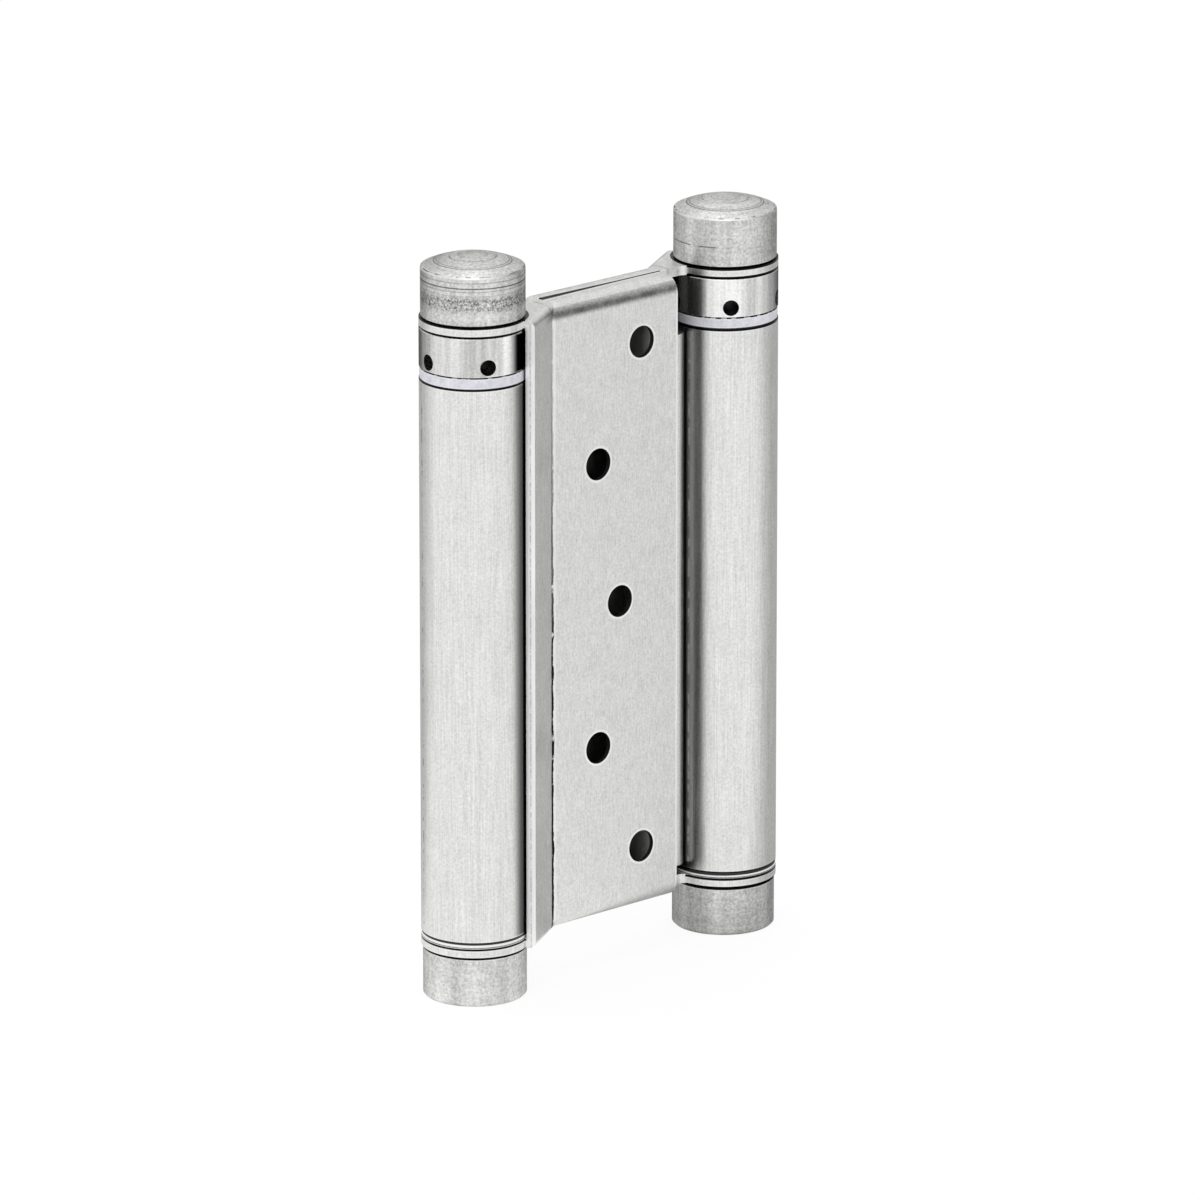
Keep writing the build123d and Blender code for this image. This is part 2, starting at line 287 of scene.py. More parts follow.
def makeTurnedGroup():
    # A place told by its turn round the nearer barrel's axis and by its distance out plus height.
    # The left barrel counts as the right one turned by half a circle.
    group, start, end = newGroup(
        "turnedPlace",
        [("Vector", "Vector")],
        [("Place", "Vector"), ("Radius", "Float"), ("Turn", "Float")],
    )
    parts = splitOf(group, (-700, 0), start["Vector"])
    side = mathOf(group, (-700, 200), "SIGN", parts["X"])
    across = mathOf(group, (-500, 200), "ABSOLUTE", parts["X"])
    across = mathOf(group, (-300, 200), "SUBTRACT", across, hinge["axisX"])
    depth = mathOf(group, (-500, 0), "MULTIPLY", parts["Y"], side)
    flat = addNode(group, "ShaderNodeCombineXYZ", (-300, 0))
    feed(group, across, flat.inputs["X"])
    feed(group, depth, flat.inputs["Y"])
    radius = addNode(group, "ShaderNodeVectorMath", (-100, -100), operation="LENGTH")
    feed(group, flat.outputs[0], radius.inputs[0])
    unit = addNode(group, "ShaderNodeVectorMath", (-100, 100), operation="NORMALIZE")
    feed(group, flat.outputs[0], unit.inputs[0])
    sides = splitOf(group, (100, 100), unit.outputs[0])
    place = addNode(group, "ShaderNodeCombineXYZ", (500, 0))
    for axis in ("X", "Y"):
        arc = mathOf(group, (300, 100), "MULTIPLY", sides[axis], hinge["barrelRadius"])
        feed(group, arc, place.inputs[axis])
    out = mathOf(group, (100, -200), "ADD", parts["Z"], radius.outputs["Value"])
    feed(group, mathOf(group, (300, -200), "MULTIPLY_ADD", side, 0.2, out), place.inputs["Z"])
    turn = mathOf(group, (100, 300), "ARCTAN2", depth, across)
    turn = mathOf(group, (300, 300), "DEGREES", turn)
    feed(group, mathOf(group, (500, 300), "WRAP", turn, 360.0, 0.0), end["Turn"])
    feed(group, place.outputs[0], end["Place"])
    feed(group, radius.outputs["Value"], end["Radius"])
    return group


def makeBandGroup():
    # One where a value is within half a width of a centre, with soft edges
    group, start, end = newGroup(
        "softBand",
        [("Value", "Float"), ("Centre", "Float"), ("Half", "Float"), ("Edge", "Float")],
        [("Mask", "Float")],
    )
    away = mathOf(group, (-600, 0), "SUBTRACT", start["Value"], start["Centre"])
    away = mathOf(group, (-400, 0), "ABSOLUTE", away)
    outer = mathOf(group, (-400, -200), "ADD", start["Half"], start["Edge"])
    feed(group, rangeOf(group, (0, 0), away, start["Half"], outer, 1.0, 0.0), end["Mask"])
    return group


def makeSpeckleGroup():
    # Even grain of pickled sheet, as fine specks and as soft clouds
    group, start, end = newGroup(
        "speckle",
        [("Vector", "Vector"), ("Size", "Float")],
        [("Speck", "Float"), ("Cloud", "Float")],
    )
    fine = noiseOf(group, (-500, 100), start["Vector"], start["Size"], 3.0, 0.7)
    coarse = mathOf(group, (-700, -200), "MULTIPLY", start["Size"], 0.12)
    cloud = noiseOf(group, (-500, -200), start["Vector"], coarse, 3.0, 0.6)
    feed(group, rangeOf(group, (0, 100), fine, 0.28, 0.72), end["Speck"])
    feed(group, rangeOf(group, (0, -200), cloud, 0.3, 0.7), end["Cloud"])
    return group


linesGroup = makeLinesGroup()
turnedGroup = makeTurnedGroup()
bandGroup = makeBandGroup()
speckleGroup = makeSpeckleGroup()


def bandOf(tree, place, value, centre, half, edge):
    return useGroup(tree, place, bandGroup, Value=value, Centre=centre, Half=half, Edge=edge)["Mask"]


# Dark joints between the pieces stacked on a barrel: height, half width, how broken each is,
# and how much its half width grows on the right barrel
seams = {
    "reach": 0.0085,
    "edge": 0.00005,
    "glow": 0.00028,
    "colour": (0.008, 0.008, 0.008, 1),
    "breakScale": 900.0,
    "highlightScale": 500.0,
    "lines": [
        (0.10776, 0.00015, 0.0, 0.00007),
        (0.10635, 0.00014, 0.2, 0.00007),
        (0.09996, 0.00007, 0.5, 0.00003),
        (0.09813, 0.00016, 0.15, 0.00007),
        (0.01021, 0.00019, 0.05, 0.00012),
        (0.00926, 0.00014, 0.05, 0.00004),
        (0.00777, 0.00019, 0.0, 0.0001),
    ],
}


def makeSeamGroup(values):
    # The joints' dark lines, and a painted highlight on both sides of them, broken by noise
    group, start, end = newGroup(
        "seamShade",
        [("Vector", "Vector")],
        [("Dark", "Float"), ("Bright", "Float")],
    )
    turned = useGroup(group, (-700, 200), turnedGroup, Vector=start["Vector"])
    near = mathOf(group, (-500, 200), "LESS_THAN", turned["Radius"], values["reach"])
    parts = splitOf(group, (-700, 0), start["Vector"])
    breaks = noiseOf(group, (-500, -300), start["Vector"], values["breakScale"], 1.0, 0.5)
    wear = noiseOf(group, (-500, -500), start["Vector"], values["highlightScale"], 2.0, 0.5)
    onRight = mathOf(group, (-700, -200), "GREATER_THAN", parts["X"], 0.0)
    dark = 0.0
    bright = 0.0
    for row, (height, half, broken, wider) in enumerate(values["lines"]):
        level = -300 * row
        half = mathOf(group, (-500, level - 100), "MULTIPLY_ADD", onRight, wider, half)
        line = bandOf(group, (-300, level), parts["Z"], height, half, values["edge"])
        kept = rangeOf(group, (-100, level), breaks, broken * 0.9 - 0.02, broken * 0.9 + 0.02)
        line = mathOf(group, (100, level), "MULTIPLY", line, kept)
        dark = mathOf(group, (300, level), "MAXIMUM", line, dark)
        glow = bandOf(group, (-300, level - 150), parts["Z"], height, half, values["glow"])
        bright = mathOf(group, (300, level - 150), "MAXIMUM", glow, bright)
    worn = rangeOf(group, (300, 300), wear, 0.35, 0.6, 0.25, 1.0)
    bright = mathOf(group, (500, 300), "MULTIPLY", bright, worn)
    feed(group, mathOf(group, (700, 0), "MULTIPLY", dark, near), end["Dark"])
    feed(group, mathOf(group, (700, 200), "MULTIPLY", bright, near), end["Bright"])
    return group


seamGroup = makeSeamGroup(seams)
print("shared effects ready")


def newMaterial(name):
    material = bpy.data.materials.new(name)
    material.use_nodes = True
    tree = material.node_tree
    coords = addNode(tree, "ShaderNodeTexCoord", (-2200, 0)).outputs["Object"]
    return material, tree, coords, tree.nodes["Principled BSDF"]


def sumOf(tree, place, base, *weighted):
    # A base plus each value times its weight
    total = base
    for step, (value, weight) in enumerate(weighted):
        total = mathOf(tree, (place[0] + 180 * step, place[1]), "MULTIPLY_ADD", value, weight, total)
    return total


def sheetTone(tree, lines, grain, values):
    # How light a sheet is, from its brushed lines and its grain
    parts = (lines["Fine"], lines["Broad"], grain["Speck"], grain["Cloud"])
    return sumOf(tree, (-1600, 100), values["toneBase"], *zip(parts, values["toneWeights"]))


def sheetRelief(tree, lines, grain, values):
    parts = (lines["Fine"], grain["Speck"])
    return sumOf(tree, (-900, -300), 0.0, *zip(parts, values["reliefWeights"]))


def finishMetal(tree, shader, coords, colour, rough, height, values):
    # Dark joints and the painted highlights beside them over the colour, then colour, roughness and relief
    # into the shader
    seam = useGroup(tree, (-700, 500), seamGroup, Vector=coords)
    edged = mathOf(tree, (-500, 600), "MULTIPLY", seam["Bright"], values["edgeLight"])
    lit = mixColour(tree, (-400, 400), edged, colour, values.get("edgeColour", (1, 1, 1, 1)))
    shaded = mixColour(tree, (-200, 400), seam["Dark"], lit, seams["colour"])
    feed(tree, shaded, shader.inputs["Base Color"])
    feed(tree, 1.0, shader.inputs["Metallic"])
    feed(tree, rough, shader.inputs["Roughness"])
    bump = addNode(tree, "ShaderNodeBump", (-300, -300))
    bump.inputs["Strength"].default_value = values["relief"]
    bump.inputs["Distance"].default_value = values["reliefDepth"]
    feed(tree, height, bump.inputs["Height"])
    feed(tree, bump.outputs["Normal"], shader.inputs["Normal"])


barrelValues = {
    "dark": (0.58, 0.58, 0.565, 1),
    "light": (1.0, 1.0, 0.99, 1),
    "film": (0.05, 0.05, 0.048, 1),
    "tick": (0.42, 0.42, 0.41, 1),
    "web": (0.3, 0.3, 0.29, 1),
    "toneBase": -0.12,
    "toneWeights": (0.45, 0.15, 0.6, 0.12),
    "reliefWeights": (0.6, 0.5),
    "flat": 5200.0,
    "upright": 110.0,
    "grain": 2600.0,
    "roughLow": 0.27,
    "roughHigh": 0.4,
    "relief": 0.35,
    "reliefDepth": 0.00002,
    "edgeLight": 0.8,
    "tube": 0.0084,  # what lies nearer the axis than this is barrel, the rest is web
    "freeEnd": (184.0, 202.0),  # turns between which the painted shade by the sheet's free end fades
    "neck": (91.0, 110.0),
    "endLine": (180.5, 1.3),
    "endTicks": (185.5, 1.0),
    "tickBreaks": (0.48, 0.56),
    "scuff": (337.0, 0.5),
    "scuffBreaks": (0.5, 0.6),
    "scuffShade": 0.8,
    "webReach": 0.0108,
}


def barrelFilm(tree, turn, tube, values):
    # Painted shade by the sheet's free end and by its neck, and the ragged dark line of the free end
    near, far = values["freeEnd"]
    past = mathOf(tree, (-1500, -700), "GREATER_THAN", turn, hinge["neckSide"])
    free = rangeOf(tree, (-1300, -600), turn, near, far, 0.8, 0.0, smooth=True)
    free = mathOf(tree, (-1100, -600), "MULTIPLY", free, past)
    neck = rangeOf(tree, (-1300, -800), turn, *values["neck"], 0.0, 0.97, smooth=True)
    neck = mathOf(tree, (-1100, -800), "MULTIPLY", neck, mathOf(tree, (-1300, -900), "SUBTRACT", 1.0, past))
    film = mathOf(tree, (-900, -700), "MAXIMUM", free, neck)
    line = bandOf(tree, (-1100, -1000), turn, *values["endLine"], 0.6)
    film = mathOf(tree, (-700, -700), "MAXIMUM", film, line)
    return mathOf(tree, (-500, -700), "MULTIPLY", film, tube)


def raggedLine(tree, place, coords, turn, centre, half, low, high):
    # A line along the barrel that comes and goes
    ragged = addNode(tree, "ShaderNodeVectorMath", (place[0] - 400, place[1] - 150), operation="MULTIPLY")
    feed(tree, coords, ragged.inputs[0])
    ragged.inputs[1].default_value = (300, 300, 520)
    breaks = noiseOf(tree, (place[0] - 200, place[1] - 150), ragged.outputs[0], 1.0, 3.0, 0.7)
    kept = rangeOf(tree, (place[0], place[1] - 150), breaks, low, high)
    line = bandOf(tree, place, turn, centre, half, 0.7)
    return mathOf(tree, (place[0] + 200, place[1]), "MULTIPLY", line, kept)


def barrelSteel(values):
    material, tree, coords, shader = newMaterial("barrelSteel")
    turned = useGroup(tree, (-1900, -500), turnedGroup, Vector=coords)
    tube = mathOf(tree, (-1700, -500), "LESS_THAN", turned["Radius"], values["tube"])
    lines = useGroup(tree, (-1900, 0), linesGroup, Vector=coords,
                     Flat=values["flat"], Upright=values["upright"])
    grain = useGroup(tree, (-1900, -200), speckleGroup, Vector=coords, Size=values["grain"])
    tone = sheetTone(tree, lines, grain, values)
    colour = mixColour(tree, (-900, 300), tone, values["dark"], values["light"])
    # painted shade on the barrel where the leaf's flare and the web shade it
    film = barrelFilm(tree, turned["Turn"], tube, values)
    colour = mixColour(tree, (-700, 300), film, colour, values["film"])
    turn = turned["Turn"]
    ticks = raggedLine(tree, (-1100, -1300), coords, turn, *values["endTicks"], *values["tickBreaks"])
    scuff = raggedLine(tree, (-1100, -1600), coords, turn, *values["scuff"], *values["scuffBreaks"])
    ticks = mathOf(tree, (-700, -1300), "MULTIPLY", ticks, tube)
    colour = mixColour(tree, (-600, 200), ticks, colour, values["tick"])
    # the scuffs are real marks, in the same near-black colour as the painted shade
    scuff = mathOf(tree, (-700, -1600), "MULTIPLY", scuff, values["scuffShade"])
    colour = mixColour(tree, (-500, 200), scuff, colour, values["film"])
    # painted shade over the web, which lies between the two leaves
    middle = mathOf(tree, (-1500, -1900), "ABSOLUTE", splitOf(tree, (-1700, -1900), coords)["X"])
    middle = mathOf(tree, (-1300, -1900), "LESS_THAN", middle, values["webReach"])
    colour = mixColour(tree, (-400, 200), middle, colour, values["web"])
    rough = rangeOf(tree, (-700, -100), lines["Broad"], 0.0, 1.0, values["roughLow"], values["roughHigh"])
    relief = sheetRelief(tree, lines, grain, values)
    finishMetal(tree, shader, coords, colour, rough, relief, values)
    return material


leafValues = {
    "dark": (0.6, 0.6, 0.585, 1),
    "light": (1.0, 1.0, 0.985, 1),
    "innerShade": (0.1, 0.1, 0.095, 1),
    "shadeAndShearDark": (0.01, 0.01, 0.01, 1),
    "bright": (1, 1, 1, 1),
    "toneBase": -0.1,
    "toneWeights": (0.45, 0.15, 0.6, 0.1),
    "reliefWeights": (0.5, 0.6),
    "flat": 4200.0,
    "upright": 420.0,
    "grain": 2500.0,
    "roughLow": 0.3,
    "roughHigh": 0.44,
    "innerRough": 0.5,
    "relief": 0.3,
    "reliefDepth": 0.00002,
    "edgeLight": 0.8,
    "fold": -0.0141,  # where the face turns back to the barrel, from the middle
    "foldHalf": 0.00024,
    "foldFade": (0.1, 0.055),  # heights between which the painted shade along the fold grows
    "freeEdge": 0.01188,
    "screws": [(0.0, 0.0), (0.0045, 0.0405), (-0.0045, 0.0227)],  # from the middle one, above and below it
    "screwMiddle": 0.0584,
    "screwRadius": 0.0025,
    "gapHalf": (0.00065, 0.0002),  # painted shade in the gap between the two leaves' top edges
    "gapEnds": (-0.012, 0.004),
    "gapReach": 0.0125,
    "besideHighlight": 0.8,
    "bend": (0.1064, 0.0004, 0.0008),  # painted shade in a band along the top bend
    "bendShade": 0.55,
    "creaseHighlight": 0.7,
    "edgeMiddle": 0.0093,  # the line along the flare's sheared end, from the barrel's axis
    "edgeLineShade": 0.4,
    "innerReach": 0.0098,  # the painted shade inside starts this far from the middle, away from the free edge
}


def leafParts(tree, coords, side):
    # A leaf's own across and depth, the rear leaf being the front one turned by half a circle
    parts = splitOf(tree, (-2000, -900), coords)
    across = mathOf(tree, (-1800, -800), "MULTIPLY", parts["X"], side)
    depth = mathOf(tree, (-1800, -1000), "MULTIPLY", parts["Y"], side)
    return parts["X"], across, depth, parts["Z"]


def leafInside(tree, across, depth, height):
    # One on a leaf's inner faces, which get painted shade
    margin = 0.00004
    behindFace = mathOf(tree, (-1500, -1000), "GREATER_THAN", depth, -hinge["leafInside"] - margin)
    turn = math.radians(hinge["flareTurn"])
    outward = mathOf(tree, (-1500, -800), "ADD", across, hinge["axisX"])
    outward = mathOf(tree, (-1300, -800), "MULTIPLY", outward, math.cos(turn))
    outward = mathOf(tree, (-1100, -800), "MULTIPLY_ADD", depth, math.sin(turn), outward)
    behindFlare = mathOf(tree, (-900, -800), "LESS_THAN", outward, hinge["flareRadius"] + margin)
    behind = mathOf(tree, (-700, -900), "MAXIMUM", behindFace, behindFlare)
    above = mathOf(tree, (-1500, -1200), "GREATER_THAN", height, hinge["eyeFloor"] + margin)
    below = mathOf(tree, (-1500, -1400), "LESS_THAN", height, hinge["eyeRoof"] - margin)
    between = mathOf(tree, (-1100, -1200), "MULTIPLY", above, below)
    return mathOf(tree, (-500, -900), "MULTIPLY", behind, between)


def leafDarks(tree, coords, along, across, depth, height, values):
    # One mask for painted shade along the fold, heavier towards the floor, and for painted shade in the gap
    # between the two leaves' top edges, and one for the painted highlight beside that gap
    wave = noiseOf(tree, (-1900, -1700), coords, 260.0, 4.0, 0.7)
    wave = rangeOf(tree, (-1700, -1700), wave, 0.3, 0.7, -0.00022, 0.00022)
    swayed = mathOf(tree, (-1600, -1700), "ADD", across, wave)
    fold = bandOf(tree, (-1500, -1700), swayed, values["fold"], values["foldHalf"], 0.00008)
    heavy = rangeOf(tree, (-1500, -1900), height, *values["foldFade"], 0.25, 1.0)
    breaks = noiseOf(tree, (-1500, -2100), coords, 420.0, 3.0, 0.6)
    kept = rangeOf(tree, (-1300, -2100), breaks, 0.33, 0.42)
    fold = mathOf(tree, (-1300, -1700), "MULTIPLY", fold, heavy)
    fold = mathOf(tree, (-1100, -1700), "MULTIPLY", fold, kept)
    onEdge = mathOf(tree, (-1500, -2300), "GREATER_THAN", height, hinge["leafTop"] - 0.0006)
    wide, narrow = values["gapHalf"]
    half = rangeOf(tree, (-1500, -2500), along, *values["gapEnds"], wide, narrow)
    gap = bandOf(tree, (-1300, -2500), depth, 0.0, half, 0.00006)
    gap = mathOf(tree, (-1100, -2500), "MULTIPLY", gap, onEdge)
    central = mathOf(tree, (-1400, -2300), "ABSOLUTE", along)
    central = mathOf(tree, (-1300, -2300), "LESS_THAN", central, values["gapReach"])
    gap = mathOf(tree, (-1000, -2500), "MULTIPLY", gap, central)
    away = mathOf(tree, (-1500, -2700), "ABSOLUTE", depth)
    rim = mathOf(tree, (-1400, -2600), "ADD", half, 0.0003)
    beside = bandOf(tree, (-1300, -2700), away, rim, 0.00012, 0.0001)
    held = mathOf(tree, (-1200, -2600), "MULTIPLY", onEdge, central)
    beside = mathOf(tree, (-1100, -2700), "MULTIPLY", beside, held)
    return mathOf(tree, (-900, -1700), "MAXIMUM", fold, gap), beside


def flareEdge(tree, coords, across, depth, height, values):
    # The sheared end of the flare: one over all of it, which gets a painted highlight, and one along the
    # broken line in its middle
    turn = math.radians(hinge["flareEnd"])
    shifted = mathOf(tree, (-1900, -3600), "ADD", across, hinge["axisX"])
    outward = mathOf(tree, (-1700, -3600), "MULTIPLY", shifted, math.cos(turn))
    outward = mathOf(tree, (-1500, -3600), "MULTIPLY_ADD", depth, math.sin(turn), outward)
    beyond = mathOf(tree, (-1700, -3800), "MULTIPLY", shifted, math.sin(turn))
    beyond = mathOf(tree, (-1500, -3800), "MULTIPLY_ADD", depth, -math.cos(turn), beyond)
    onEnd = mathOf(tree, (-1300, -3800), "GREATER_THAN", beyond, -0.00006)
    far = mathOf(tree, (-1300, -3600), "GREATER_THAN", outward, hinge["flareRadius"] - 0.0001)
    end = mathOf(tree, (-1100, -3700), "MULTIPLY", onEnd, far)
    below = mathOf(tree, (-1300, -4000), "LESS_THAN", height, hinge["eyeRoof"] + 0.0008)
    end = mathOf(tree, (-900, -3700), "MULTIPLY", end, below)
    line = bandOf(tree, (-1100, -4000), outward, values["edgeMiddle"], 0.00005, 0.00008)
    breaks = noiseOf(tree, (-1300, -4200), coords, 1500.0, 4.0, 0.7)
    kept = rangeOf(tree, (-1100, -4200), breaks, 0.35, 0.56)
    line = mathOf(tree, (-900, -4000), "MULTIPLY", line, kept)
    line = mathOf(tree, (-700, -4000), "MULTIPLY", line, end)
    return end, line


def screwDistance(tree, across, height, values):
    # How far a place is from the middle of the nearest screw hole
    rise = mathOf(tree, (-1900, -2900), "SUBTRACT", height, values["screwMiddle"])
    rise = mathOf(tree, (-1700, -2900), "ABSOLUTE", rise)
    nearest = 1.0
    for row, (hole, level) in enumerate(values["screws"]):
        offset = addNode(tree, "ShaderNodeCombineXYZ", (-1300, -2900 - 200 * row))
        feed(tree, mathOf(tree, (-1500, -2900 - 200 * row), "SUBTRACT", across, hole), offset.inputs["X"])
        feed(tree, mathOf(tree, (-1500, -3000 - 200 * row), "SUBTRACT", rise, level), offset.inputs["Z"])
        length = addNode(tree, "ShaderNodeVectorMath", (-1100, -2900 - 200 * row), operation="LENGTH")
        feed(tree, offset.outputs[0], length.inputs[0])
        nearest = mathOf(tree, (-900, -2900 - 200 * row), "MINIMUM", length.outputs["Value"], nearest)
    return nearest


def leafSteel(name, side, values):
    material, tree, coords, shader = newMaterial(name)
    lines = useGroup(tree, (-1900, 0), linesGroup, Vector=coords,
                     Flat=values["flat"], Upright=values["upright"])
    grain = useGroup(tree, (-1900, -200), speckleGroup, Vector=coords, Size=values["grain"])
    tone = sheetTone(tree, lines, grain, values)
    along, across, depth, height = leafParts(tree, coords, side)
    inside = leafInside(tree, across, depth, height)
    colour = mixColour(tree, (-900, 300), tone, values["dark"], values["light"])
    outer = mathOf(tree, (-1500, -2700), "LESS_THAN", depth, -hinge["leafInside"] - 0.0013)
    distance = screwDistance(tree, across, height, values)
    # painted highlights round the screw holes, along the free edge, beside the fold and over the flare's
    # sheared end, on the outer faces
    rims = bandOf(tree, (-700, -2900), distance, values["screwRadius"] + 0.00017, 0.00013, 0.00015)
    edge = bandOf(tree, (-700, -2700), across, values["freeEdge"], 0.00012, 0.00015)
    crease = bandOf(tree, (-700, -2500), across, values["fold"] + 0.0005, 0.00015, 0.0003)
    crease = mathOf(tree, (-500, -2500), "MULTIPLY", crease, values["creaseHighlight"])
    bright = mathOf(tree, (-500, -2700), "MAXIMUM", rims, edge)
    bright = mathOf(tree, (-400, -2700), "MAXIMUM", bright, crease)
    bright = mathOf(tree, (-300, -2700), "MULTIPLY", bright, outer)
    end, endLine = flareEdge(tree, coords, across, depth, height, values)
    bright = mathOf(tree, (-200, -2700), "MAXIMUM", bright, end)
    # painted shade along the outside of the top bend, grainy
    bend = bandOf(tree, (-700, -2300), height, *values["bend"])
    grainy = rangeOf(tree, (-700, -2100), grain["Speck"], 0.0, 1.0, 1.0, 0.5)
    bend = mathOf(tree, (-500, -2300), "MULTIPLY", bend, grainy)
    outside = mathOf(tree, (-500, -2100), "LESS_THAN", depth, -hinge["leafInside"] - 0.0006)
    bend = mathOf(tree, (-300, -2300), "MULTIPLY", bend, outside)
    beyondEye = rangeOf(tree, (-500, -1900), across, values["fold"] - 0.003, values["fold"] - 0.001,
                        0.0, values["bendShade"])
    bend = mathOf(tree, (-200, -2300), "MULTIPLY", bend, beyondEye)
    colour = mixColour(tree, (-850, 300), bend, colour, values["innerShade"])
    colour = mixColour(tree, (-800, 300), bright, colour, values["bright"])
    reach = values["innerReach"]
    covered = rangeOf(tree, (-700, -1100), across, reach, reach + 0.002, 1.0, 0.25)
    inside = mathOf(tree, (-500, -1100), "MULTIPLY", inside, covered)
    # the screw holes' walls get the same painted shade
    walls = mathOf(tree, (-500, -2900), "LESS_THAN", distance, values["screwRadius"] + 0.00002)
    dim = mathOf(tree, (-300, -900), "MAXIMUM", inside, walls)
    offEnd = mathOf(tree, (-300, -1000), "SUBTRACT", 1.0, end)
    dim = mathOf(tree, (-200, -900), "MULTIPLY", dim, offEnd)
    # painted shade on the inner faces and in the screw holes, kept off the flare's end
    colour = mixColour(tree, (-700, 300), dim, colour, values["innerShade"])
    darks, beside = leafDarks(tree, coords, along, across, depth, height, values)
    # painted highlight beside the gap between the leaves
    beside = mathOf(tree, (-800, -1700), "MULTIPLY", beside, values["besideHighlight"])
    colour = mixColour(tree, (-650, 300), beside, colour, values["bright"])
    # painted shade of the fold and the gap, together with the real dark line along the flare's sheared end
    endLine = mathOf(tree, (-800, 100), "MULTIPLY", endLine, values["edgeLineShade"])
    darks = mathOf(tree, (-650, 100), "MAXIMUM", darks, endLine)
    colour = mixColour(tree, (-600, 300), darks, colour, values["shadeAndShearDark"])
    rough = rangeOf(tree, (-900, -100), lines["Broad"], 0.0, 1.0, values["roughLow"], values["roughHigh"])
    rough = rangeOf(tree, (-700, -100), dim, 0.0, 1.0, rough, values["innerRough"])
    relief = sheetRelief(tree, lines, grain, values)
    finishMetal(tree, shader, coords, colour, rough, relief, values)
    return material


collarValues = {
    "dark": (0.36, 0.36, 0.35, 1),
    "light": (1.0, 1.0, 0.995, 1),
    "film": (0.015, 0.015, 0.015, 1),
    # painted shade in the bar holes: a darker colour for the walls, near black for the floor
    "hole": (0.6, 0.59, 0.59, 1),
    "holeFloorShade": (0.02, 0.018, 0.018, 1),
    "toneBase": -0.1,
    "toneWeights": (0.12, 0.2, 0.7, 0.35),
    "flat": 700.0,
    "upright": 9000.0,
    "streaks": (2600.0, 200.0),
    "broad": 230.0,
    "broadUpright": 4.0,
    "grain": 2600.0,
    "roughLow": 0.18,
    "roughHigh": 0.32,
    "relief": 0.2,
    "reliefDepth": 0.00001,
    "edgeLight": 0.85,
    "neck": (88.0, 103.0),
    "edgeTint": (0.15, 0.15, 0.15, 1),  # how a grazing reflection is dimmed
    "holeHeight": 0.1016,
    "holeHalf": 0.0014,
    "holeReach": 0.00795,
    "holeDepth": 0.0053,
}


def collarSteel(values):
    material, tree, coords, shader = newMaterial("collarSteel")
    turned = useGroup(tree, (-1900, -300), turnedGroup, Vector=coords)
    rings = useGroup(tree, (-1700, 0), linesGroup, Vector=turned["Place"], Flat=values["flat"],
                     Upright=values["upright"])
    across, along = values["streaks"]
    streaks = useGroup(tree, (-1700, -500), linesGroup, Vector=coords, Flat=across, Upright=along)
    broad = useGroup(tree, (-1700, -700), linesGroup, Vector=turned["Place"], Flat=values["broad"],
                     Upright=values["broadUpright"])
    grain = useGroup(tree, (-1700, -900), speckleGroup, Vector=coords, Size=values["grain"])
    swell = rangeOf(tree, (-1500, -700), broad["Fine"], 0.15, 0.75)
    toneParts = (rings["Fine"], streaks["Fine"], swell, grain["Speck"])
    tone = sumOf(tree, (-1500, 100), values["toneBase"], *zip(toneParts, values["toneWeights"]))
    colour = mixColour(tree, (-900, 300), tone, values["dark"], values["light"])
    # painted shade on the collar towards the barrel's neck, where the leaf's flare shades it
    before = mathOf(tree, (-1300, -1000), "LESS_THAN", turned["Turn"], hinge["neckSide"])
    film = rangeOf(tree, (-1300, -800), turned["Turn"], *values["neck"], 0.0, 1.0, smooth=True)
    film = mathOf(tree, (-1100, -800), "MULTIPLY", film, before)
    colour = mixColour(tree, (-700, 300), film, colour, values["film"])
    height = splitOf(tree, (-1700, -1200), coords)["Z"]
    # painted shade in the bar holes: darker walls and a near-black floor
    level = bandOf(tree, (-1300, -1200), height, values["holeHeight"], values["holeHalf"], 0.0001)
    deep = mathOf(tree, (-1300, -1400), "LESS_THAN", turned["Radius"], values["holeReach"])
    hole = mathOf(tree, (-1100, -1200), "MULTIPLY", level, deep)
    colour = mixColour(tree, (-600, 300), hole, colour, values["hole"])
    floor = mathOf(tree, (-1300, -1500), "LESS_THAN", turned["Radius"], values["holeDepth"])
    floor = mathOf(tree, (-1100, -1500), "MULTIPLY", floor, level)
    colour = mixColour(tree, (-500, 300), floor, colour, values["holeFloorShade"])
    rough = rangeOf(tree, (-700, -100), streaks["Broad"], 0.0, 1.0, values["roughLow"], values["roughHigh"])
    finishMetal(tree, shader, coords, colour, rough, rings["Fine"], values)
    shader.inputs["Specular Tint"].default_value = values["edgeTint"]
    return material


